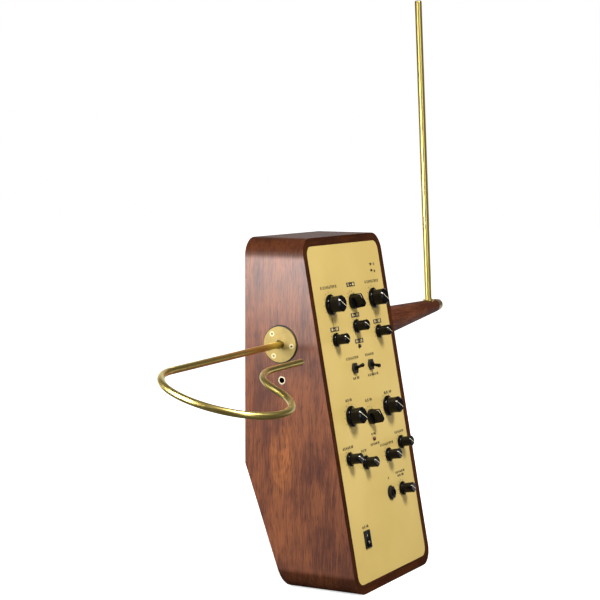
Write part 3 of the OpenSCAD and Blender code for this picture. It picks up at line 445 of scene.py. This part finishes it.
# %% Plastics
knob_black = plastic("knob_gloss_black", (0.003, 0.003, 0.004), 0.02, 0.04, 0.000006,
                     Specular_IOR_Level=0.17)
switch_black = plastic("switch_black", (0.006, 0.006, 0.007), 0.05, 0.2,
                       Specular_IOR_Level=0.3)
socket_black = plastic("socket_black", (0.006, 0.006, 0.007), 0.08, 0.32,
                       Specular_IOR_Level=0.2)
wire_red = plastic("wire_red", (0.45, 0.035, 0.025), 0.2, 0.3)
lamp_lens, tree, shader = new_material("lamp_dark_red", Coat_Weight=0.5)
high_lamp = smooth_step(tree, apart(tree, object_place(tree))[2], 0.2, 0.24)
place_group(tree, shader, plastic_group, {
    "Plastic": mix_colours(tree, high_lamp, (0.1, 0.014, 0.009, 1), (0.016, 0.006, 0.005, 1)),
    "Dust": 0.05, "Shine": 0.08}, 0.00002)
print("materials so far:", len(bpy.data.materials))

# %% Pale screws and eyelet, with painted shade in their recesses
def pale_metal(name, colour, tarnish, shade_from):
    """Satin metal on the left side, painted near black behind the given plane of x, as shade in
    its recesses.
    """
    material, tree, shader = new_material(name, 0.3)
    placed = place_group(tree, shader, metal_group, {
        "Metal": (*colour, 1), "Tarnish": (*tarnish, 1), "Tarnish share": 0.3,
        "Polish": 0.4, "Cloud size": 90.0}, 0.000002)
    x = apart(tree, object_place(tree))[0]
    # painted shade: near black in the screws' cross recesses and in the eyelet's bore
    painted_recess_shade = smooth_step(tree, x, shade_from, shade_from + 0.00025)
    link_all(tree, shader, {"Base Color": mix_colours(
        tree, painted_recess_shade, placed.outputs["Colour"], (0.012, 0.008, 0.005, 1))})
    return material


# The screws darken in their cross recesses and the eyelet in its bore: painted shade.
pale_screw = pale_metal("pale_screw", (0.5, 0.42, 0.22), (0.36, 0.27, 0.12), -0.10745)
pale_ring = pale_metal("pale_ring", (0.5, 0.44, 0.3), (0.4, 0.33, 0.2), -0.1055)

# %% [markdown]
# ## Board and coils
# The circuit board is green with darker tracks under the lacquer: a grid of bands looks
# like routed copper.  The coils are wound from enamelled wire, so their bump is a stack
# of rings as wide as the wire.

# %% Board and coils
board_green, tree, shader = new_material("board_green", Coat_Weight=0.4, Coat_Roughness=0.2)
tracks = add_node(tree, "ShaderNodeTexBrick", {
    "Vector": object_place(tree), "Scale": 90.0, "Mortar Size": 0.02,
    "Color1": (0.012, 0.10, 0.035, 1), "Color2": (0.02, 0.14, 0.05, 1),
    "Mortar": (0.05, 0.26, 0.09, 1)}).outputs
link_all(tree, shader, {
    "Base Color": tracks["Color"],
    "Roughness": maths(tree, "MULTIPLY_ADD", tracks["Fac"], 0.2, 0.35),
    "Normal": bump_normal(tree, tracks["Fac"], 0.00004)})

coil_wire, tree, shader = new_material("coil_wire", 0.6)
turns = add_node(tree, "ShaderNodeTexWave", {
    "Vector": object_place(tree), "Scale": 320.0, "Distortion": 0.3},
    bands_direction="Y").outputs["Fac"]
link_all(tree, shader, {
    "Base Color": mix_colours(tree, turns, (0.2, 0.06, 0.02, 1), (0.62, 0.25, 0.1, 1)),
    "Roughness": maths(tree, "MULTIPLY_ADD", turns, -0.15, 0.42),
    "Normal": bump_normal(tree, turns, 0.00015)})

# %% [markdown]
# ## Giving the CAD nodes their finish
# A CAD node whose shape is right stays as it is and takes a better material.  The list
# goes by name, and a node that is missing from it would stop the script here.

# %% Give every node its finish
finishes = {
    "cabinet": cabinet_wood, "pitch_arm": arm_wood, "front_panel": panel_finish,
    "rear_panel": black_metal, "machine_screws": black_metal, "toggle_nuts": black_metal,
    "jack_nuts": black_metal, "panel_nuts": steel_plated, "bushing_nuts": steel_plated,
    "stand_flange": steel_plated, "arm_bolt": steel_plated, "pot_bodies": steel_plated,
    "board_spacers": brass_cap, "main_board": board_green, "antenna_coils": coil_wire,
    "antenna_leads": wire_red, "rotary_switch_bodies": socket_black,
    "toggle_bodies": socket_black, "power_switch_housing": switch_black,
    "power_rocker": knob_black, "jack_sockets": socket_black, "dc_inlet": socket_black,
    "status_leds": lamp_lens, "volume_flange": brass_flange, "flange_screws": pale_screw,
    "side_eyelet": pale_ring, "arm_cap": brass_cap, "rod_bush": brass,
    "volume_loop": brass, "pitch_rod": brass,
    "left_toggle_lever": knob_black, "right_toggle_lever": knob_black,
}
for name in nodes:
    if name.endswith("_knob") or name in ("top_selector", "middle_selector"):
        finishes[name] = knob_black
    elif name.endswith("_shaft"):
        finishes[name] = steel_shaft
for name, node in nodes.items():
    node.data.materials.clear()
    node.data.materials.append(finishes[name])
print("nodes with a finish:", len(finishes))

# %% [markdown]
# ## Working on the leaning panel
# The panel leans back, so everything printed on it is placed by two distances: from the
# middle, and up the face from its bottom edge.  One helper turns those into a point, with
# a height off the panel, and another builds small flat bars there.

# %% The panel's own directions
LEAN = math.radians(10.4)
FRONT_Y, PANEL_RECESS = -0.049, 0.0004
up_face = Vector((0.0, math.sin(LEAN), math.cos(LEAN)))
out_of_face = Vector((0.0, -math.cos(LEAN), math.sin(LEAN)))
face_foot = Vector((0.0, FRONT_Y, 0.0)) - out_of_face * PANEL_RECESS
panel_frame = Matrix.Translation(face_foot) @ Matrix(
    ((1, 0, 0), up_face, out_of_face)).transposed().to_4x4()
print("panel frame ready; face foot at", tuple(round(c, 5) for c in face_foot))


def on_panel(x, v, h=0.0):
    """Point on the panel; x, v and h in millimetres."""
    return panel_frame @ Vector((x / 1000, v / 1000, h / 1000))


def add_bar(mesh, x, v, wide, long, turn=0.0, thick=0.05):
    """A flat bar of ink, turned anticlockwise by so many degrees, in millimetres."""
    spin = Matrix.Rotation(math.radians(turn), 4, "Z")
    corners = []
    for h in (0.0, thick):
        for sx, sy in ((-1, -1), (1, -1), (1, 1), (-1, 1)):
            p = Matrix.Translation((x, v, h)) @ spin @ Vector((sx * wide / 2, sy * long / 2, 0))
            corners.append(mesh.verts.new(on_panel(*p)))
    for quad in ((3, 2, 1, 0), (4, 5, 6, 7), (0, 1, 5, 4), (1, 2, 6, 5), (2, 3, 7, 6),
                 (3, 0, 4, 7)):
        mesh.faces.new([corners[i] for i in quad])


def keep_piece(mesh, name, material, body):
    """Turns a bmesh into an object that rides on a body."""
    data = bpy.data.meshes.new(name)
    mesh.to_mesh(data)
    mesh.free()
    data.materials.append(material)
    piece = bpy.data.objects.new(name, data)
    bpy.context.scene.collection.objects.link(piece)
    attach(piece, body)
    return piece


# %% [markdown]
# ## Printing round the knobs
# Each round knob has a ring of short ticks from seven o'clock round to five, and each
# selector has a tick for every place it stops at.  They are real thin ink bars, which
# stay sharp at any distance, where a painted texture would blur.

# %% Where the knobs are, and their kinds
joint_of = {j["child"]: j for j in frame["joints"]}
knobs = {}
for body, joint in joint_of.items():
    if joint["name"].endswith("_turn") and body != "volume_loop":
        local = panel_frame.inverted() @ Vector(joint["pos_m"]) * 1000
        knobs[body] = (local.x, local.y)
LARGE_KNOBS = ("top_left_knob", "top_right_knob", "middle_left_knob", "middle_right_knob")


def kind_of(body):
    if body.endswith("selector"):
        return "selector"
    return "large" if body in LARGE_KNOBS else "small"


print("knobs:", {kind: sum(kind_of(b) == kind for b in knobs)
                 for kind in ("large", "small", "selector")})

# %% Tick marks round the knobs
TICK_WIDE = 0.7
TICKS = {"large": (range(-150, 151, 30), 15.3, 1.8),        # turns, distance out, length
         "small": (range(-150, 151, 30), 10.6, 1.7),
         "selector": (range(-60, 61, 24), 12.6, 2.2)}
ink = fine_print("printed_ink", 3500.0, (0.006, 0.005, 0.004), (0.02, 0.016, 0.012), 0.3, 0.4)
ticks = bmesh.new()
for body, (x, v) in knobs.items():
    steps, out, long = TICKS[kind_of(body)]
    for turn in steps:
        a = math.radians(turn)
        add_bar(ticks, x - out * math.sin(a), v + out * math.cos(a), TICK_WIDE, long, turn)
for x, low, high in ((-56.9, 315.5, 327.0), (59.9, 315.5, 327.0), (1.5, 295.6, 299.0)):
    add_bar(ticks, x, (low + high) / 2, TICK_WIDE, high - low)
tick_piece = keep_piece(ticks, "panel_ticks", ink, "body")
print("tick faces:", len(tick_piece.data.polygons))

# %% [markdown]
# ## Plain numbers on the panel
# A plain scale of numbers stands over each control, in the built-in font turned into
# mesh.  The wider the space, the more numbers it takes.  Five small scales stand pale on
# dark plates.

# %% Helpers for numbers
STROKE = 0.26           # thickens the font's lines, in millimetres
FONT_GAIN = 1.5         # from the height of a number to the font's size


def number_mesh(text, size):
    """The mesh of a line of numbers, centred, in millimetres."""
    curve = bpy.data.curves.new("numbers", "FONT")
    curve.body = text
    curve.size = size * FONT_GAIN
    curve.offset = STROKE
    curve.align_x = "CENTER"
    curve.align_y = "CENTER"
    curve.resolution_u = 3
    holder = bpy.data.objects.new("numbers", curve)
    bpy.context.scene.collection.objects.link(holder)
    bpy.context.view_layer.update()
    data = bpy.data.meshes.new_from_object(
        holder.evaluated_get(bpy.context.evaluated_depsgraph_get()))
    bpy.data.objects.remove(holder)
    return data


def add_numbers(mesh, text, size, width, to_place):
    """Adds a line of numbers, stretched to a width if one is given."""
    data = number_mesh(text, size)
    xs = [p.co.x for p in data.vertices]
    stretch = width / (max(xs) - min(xs)) if width else 1.0
    first = len(mesh.verts)
    mesh.from_mesh(data)
    mesh.verts.ensure_lookup_table()
    for p in mesh.verts[first:]:
        p.co = to_place(p.co.x * stretch, p.co.y)
    bpy.data.meshes.remove(data)


def panel_spot(x, v, h=0.06):
    """Puts flat work round a spot on the panel."""
    return lambda dx, dv: on_panel(x + dx, v + dv, h)


# %% Numbers over the controls
SCALES = ((30, "0 1 2 3 4 5 6 7 8 9 10"), (22, "0 2 4 6 8 10"), (14, "0 5 10"), (0, "0 10"))
# Each row: from the middle, up the face, width, height of the numbers.
legends = [(-54.5, 363.0, 42, 3.2), (62.5, 362.8, 38, 3.2), (-48.5, 226.4, 16, 3.0),
           (3.5, 220.2, 18, 3.0), (59.0, 223.2, 21, 3.0), (2.5, 178.7, 12, 2.4),
           (2.5, 166.5, 24, 2.6), (-69.5, 171.8, 27, 2.8), (-30.0, 162.5, 14, 2.8),
           (34.0, 161.8, 36, 2.8), (73.0, 171.5, 25, 2.8), (58.5, 123.4, 26, 2.3),
           (58.5, 118.9, 18, 2.3), (-57.0, 75.1, 16, 2.8), (-21.5, 274.4, 32, 2.8),
           (-19.5, 249.8, 16, 2.6), (25.5, 274.4, 23, 2.8), (27.5, 249.4, 28, 2.6)]
numbers = bmesh.new()
for x, v, width, size in legends:
    text = next(t for least, t in SCALES if width >= least)
    add_numbers(numbers, text, size, width, panel_spot(x, v))
for x, v, text in ((76.0, 384.0, "10"), (76.0, 375.0, "20"), (24.0, 120.5, "0")):
    add_numbers(numbers, text, 2.6, None, panel_spot(x, v))
keep_piece(numbers, "panel_numbers", ink, "body")
print("scales:", len(legends))

# %% Pale numbers on dark plates
PLATE_WIDE, PLATE_HIGH = 22.0, 5.4
pale_print = fine_print("pale_print", 3000.0, (0.62, 0.45, 0.17), (0.8, 0.62, 0.3))
plates = bmesh.new()
plate_numbers = bmesh.new()
for x, v, text in ((4.5, 362.8, "1 - 6"), (-55.0, 312.7, "0 - 10"), (4.0, 325.2, "0 - 10"),
                   (61.5, 312.7, "0 - 10"), (4.0, 293.2, "0 - 10")):
    add_bar(plates, x, v, PLATE_WIDE, PLATE_HIGH)
    add_numbers(plate_numbers, text, 3.0, 17.0, panel_spot(x, v, 0.07))
keep_piece(plates, "legend_plates", ink, "body")
keep_piece(plate_numbers, "legend_plate_numbers", pale_print, "body")

# %% [markdown]
# ## Pointers on the knobs
# A knob is only useful with a pointer: a cream line set across its face, which turns down
# over the bevel.  Each line is a thin mesh that rides on its knob's own body, so it turns
# with the knob in every pose.

# %% Helpers for pointers
def add_strip(mesh, x, v, turn, profile, wide):
    """A strip that follows (distance from the middle, height) points along the pointer."""
    a = math.radians(turn)
    towards, aside = Vector((-math.sin(a), math.cos(a))), Vector((math.cos(a), math.sin(a)))
    rows = []
    for r, h in profile:
        row = []
        for s in (-1, 1):
            p = Vector((x, v)) + towards * r + aside * s * wide / 2
            row.append(mesh.verts.new(on_panel(p.x, p.y, h)))
        rows.append(row)
    for low, high in zip(rows, rows[1:]):
        mesh.faces.new((low[0], low[1], high[1], high[0]))
    bmesh.ops.recalc_face_normals(mesh, faces=mesh.faces)


def across_face(face_r, top):
    """Along a round knob's flat face and down its bevel, just clear of both."""
    bevel = face_r * 0.16
    flat = top + 0.04
    return [(-face_r + bevel, flat), (0, flat), (face_r - bevel + 0.02, flat),
            (face_r + 0.06, top - bevel)]


# %% Cream pointer lines
POINTERS = {"large": (60, across_face(9.9, 18.0), 0.8),     # turn at rest, profile, width
            "small": (60, across_face(6.4, 16.8), 0.7),
            "selector": (36, [(3.0, 15.05), (6.0, 15.05), (8.62, 15.05), (8.68, 14.9),
                              (8.9, 12.0)], 0.7)}
cream = fine_print("pointer_cream", 700.0, (0.5, 0.43, 0.28), (0.72, 0.64, 0.44), 0.2, 0.25)
for body, (x, v) in knobs.items():
    turn, profile, wide = POINTERS[kind_of(body)]
    strip = bmesh.new()
    add_strip(strip, x, v, turn, profile, wide)
    keep_piece(strip, body + "_pointer", cream, body)
print("pointers:", len(knobs))

# %% [markdown]
# ## Small marks and the painted shadow round the flange
# The rocker has a bar at its on end and a ring at its off end.  On the left side, a dark
# ring of painted shadow stands in for the shade in the gap where the brass flange sits on
# the wood.  On the back, each socket has a number above it.

# %% Marks on the rocker
ROCKER_AT = (-56.9, 60.5)
ROCKER_REST = math.radians(-8.0)
ROCKER_TOP, ROCKER_RISE, ROCKER_HALF = 1.0, 1.2, 8.0    # height, rise to the ends, half length
RING_POINTS, RING_AT = 20, -4.2
pivot = Vector(joint_of["power_rocker"]["pos_m"])
tip = (Matrix.Translation(pivot) @ Matrix.Rotation(ROCKER_REST, 4, "X")
       @ Matrix.Translation(-pivot))
marks = bmesh.new()


def on_rocker(dx, dv):
    """Point just above the rocker's own top, which is a shallow V."""
    h = ROCKER_TOP + abs(dv) / ROCKER_HALF * ROCKER_RISE + 0.05
    return tip @ on_panel(ROCKER_AT[0] + dx, ROCKER_AT[1] + dv, h)


def add_patch(points):
    marks.faces.new([marks.verts.new(on_rocker(*p)) for p in points])


add_patch([(-0.35, 2.8), (0.35, 2.8), (0.35, 5.6), (-0.35, 5.6)])
for i in range(RING_POINTS):
    a, b = (2 * math.pi * k / RING_POINTS for k in (i, i + 1))
    add_patch([(r * math.cos(t), RING_AT + r * math.sin(t))
               for r, t in ((1.5, a), (1.5, b), (1.05, b), (1.05, a))])
bmesh.ops.recalc_face_normals(marks, faces=marks.faces)
keep_piece(marks, "rocker_marks", cream, "power_rocker")

# %% Painted shadow ring round the brass flange
SHADOW_RING_POINTS = 72
IN_WOOD, OFF_WOOD = -HALF_WIDTH - 0.00005, -HALF_WIDTH - 0.0005
low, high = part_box("volume_flange")
middle = (low + high) / 2
flange_r = (high.z - low.z) / 2
# a thin near-black ring of painted shadow, just round the flange's edge
ring = bmesh.new()
rows = []
for grow, x in ((-0.0006, IN_WOOD), (-0.0006, OFF_WOOD), (0.0014, OFF_WOOD), (0.0016, IN_WOOD)):
    r = flange_r + grow
    turns_round = [2 * math.pi * k / SHADOW_RING_POINTS for k in range(SHADOW_RING_POINTS)]
    rows.append([ring.verts.new((x, middle.y + r * math.cos(t), middle.z + r * math.sin(t)))
                 for t in turns_round])
for low_row, high_row in zip(rows, rows[1:]):
    for k in range(SHADOW_RING_POINTS):
        j = (k + 1) % SHADOW_RING_POINTS
        ring.faces.new((low_row[k], low_row[j], high_row[j], high_row[k]))
bmesh.ops.recalc_face_normals(ring, faces=ring.faces)
keep_piece(ring, "flange_painted_shadow_ring", socket_black, "body")
print("flange radius:", round(flange_r, 5))

# %% Numbers on the back
back_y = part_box("rear_panel")[1].y
BACK_Z, BACK_LIFT = 0.215, 0.00005
back_numbers = bmesh.new()


def back_spot(x):
    """Puts flat work round a spot on the back, which is read from behind."""
    return lambda dx, dz: Vector((x - dx / 1000, back_y + BACK_LIFT, BACK_Z + dz / 1000))


for text, x in (("1", -0.05), ("2", -0.02), ("3", 0.01), ("9 - 12", 0.055)):
    add_numbers(back_numbers, text, 4.2, None, back_spot(x))
keep_piece(back_numbers, "rear_numbers", cream, "body")
print("rear numbers on y =", round(back_y, 5))

# %% [markdown]
# ## Floor, world and lamps
# The camera sees a white floor and world.  Mirror rays see the lit backdrop behind the
# object, and the dark studio everywhere else, which gives polished metal its contrast and
# keeps black knobs black.  The floor keeps the object's soft shadow.  A key box lights the
# panel, a strip runs down the front edges, a side box lights the left side, and a tall rim
# box behind it draws a line along the rods.

# %% Helpers for the studio
TO_BACKDROP = (0.881, 0.472, 0.0)
WHITE = (1, 1, 1, 1)


def ray_kinds(tree):
    """The light path's outputs, and 1 for rays that come by way of a mirror or glass."""
    rays = add_node(tree, "ShaderNodeLightPath").outputs
    return rays, maths(tree, "MAXIMUM", rays["Is Glossy Ray"], rays["Is Transmission Ray"])


# %% Floor
FLOOR_HALF, FLOOR_GAP = 9.0, 0.0002
STUDIO_FLOOR = (0.04, 0.04, 0.04, 1)
floor_mesh = bmesh.new()
bmesh.ops.create_grid(floor_mesh, x_segments=1, y_segments=1, size=FLOOR_HALF)
floor_data = bpy.data.meshes.new("floor")
floor_mesh.to_mesh(floor_data)
floor_mesh.free()
floor = bpy.data.objects.new("floor", floor_data)
floor.location.z = cad_box[0].z - FLOOR_GAP
bpy.context.scene.collection.objects.link(floor)
floor_paper, tree, shader = new_material("floor_paper", Roughness=0.9)
rays, mirror_ray = ray_kinds(tree)
spot = object_place(tree)
reach = vector_value(tree, "LENGTH", spot)
behind = smooth_step(tree, vector_value(tree, "DOT_PRODUCT", spot, TO_BACKDROP), 0.3, 1.2)
studio_side = maths(tree, "MULTIPLY", mirror_ray, maths(tree, "SUBTRACT", 1.0, behind))
seen = mix_colours(tree, rays["Is Diffuse Ray"], (0.82, 0.82, 0.82, 1), (0.4, 0.4, 0.4, 1))
glow = maths(tree, "MULTIPLY_ADD", smooth_step(tree, reach, 0.2, 0.7), 0.45, 0.6)
backdrop_glow = maths(tree, "MULTIPLY", maths(tree, "MULTIPLY", mirror_ray, behind), 0.8)
shader.inputs["Emission Color"].default_value = WHITE
link_all(tree, shader, {
    "Base Color": mix_colours(tree, studio_side, seen, STUDIO_FLOOR),
    "Emission Strength": maths(tree, "ADD", maths(tree, "MULTIPLY", rays["Is Camera Ray"], glow),
                               backdrop_glow)})
floor_data.materials.append(floor_paper)

# %% World
AMBIENT = 0.19          # light from all round
BACKDROP, STUDIO = 1.0, 0.05
world = bpy.data.worlds.new("studio")
bpy.context.scene.world = world
world.use_nodes = True
tree = world.node_tree
rays, mirror_ray = ray_kinds(tree)
sky = add_node(tree, "ShaderNodeTexCoord").outputs["Generated"]
towards = smooth_step(tree, vector_value(tree, "DOT_PRODUCT", sky, TO_BACKDROP), 0.75, 0.97)
mirrored = maths(tree, "MULTIPLY_ADD", towards, BACKDROP - STUDIO, STUDIO)
plain = maths(tree, "MULTIPLY_ADD", rays["Is Camera Ray"], 1.0 - AMBIENT, AMBIENT)
background = tree.nodes["Background"]
background.inputs["Color"].default_value = WHITE
link_all(tree, background, {"Strength": pick(tree, mirror_ray, plain, mirrored)})

# %% Soft boxes
def soft_box(name, at, aim, wide, high, watts):
    lamp = bpy.data.lights.new(name, "AREA")
    lamp.shape, lamp.size, lamp.size_y, lamp.energy = "RECTANGLE", wide, high, watts
    holder = bpy.data.objects.new(name, lamp)
    holder.location = at
    holder.rotation_euler = (Vector(aim) - Vector(at)).to_track_quat("-Z", "Y").to_euler()
    bpy.context.scene.collection.objects.link(holder)


soft_box("key_box", (-0.45, -1.45, 2.05), (0, 0, 0.25), 0.65, 0.65, 66)
soft_box("strip_box", (-1.0, -1.75, 0.62), (0.2, 0, 0.5), 0.35, 1.3, 5.5)
soft_box("side_box", (-0.66, 0.28, 0.44), (-0.1, 0.0, 0.36), 0.35, 0.32, 6)
soft_box("rim_box", (-1.25, 0.5, 1.0), (0.2, 0.0, 0.7), 0.3, 1.0, 4)
bpy.context.scene.view_settings.view_transform = "Standard"
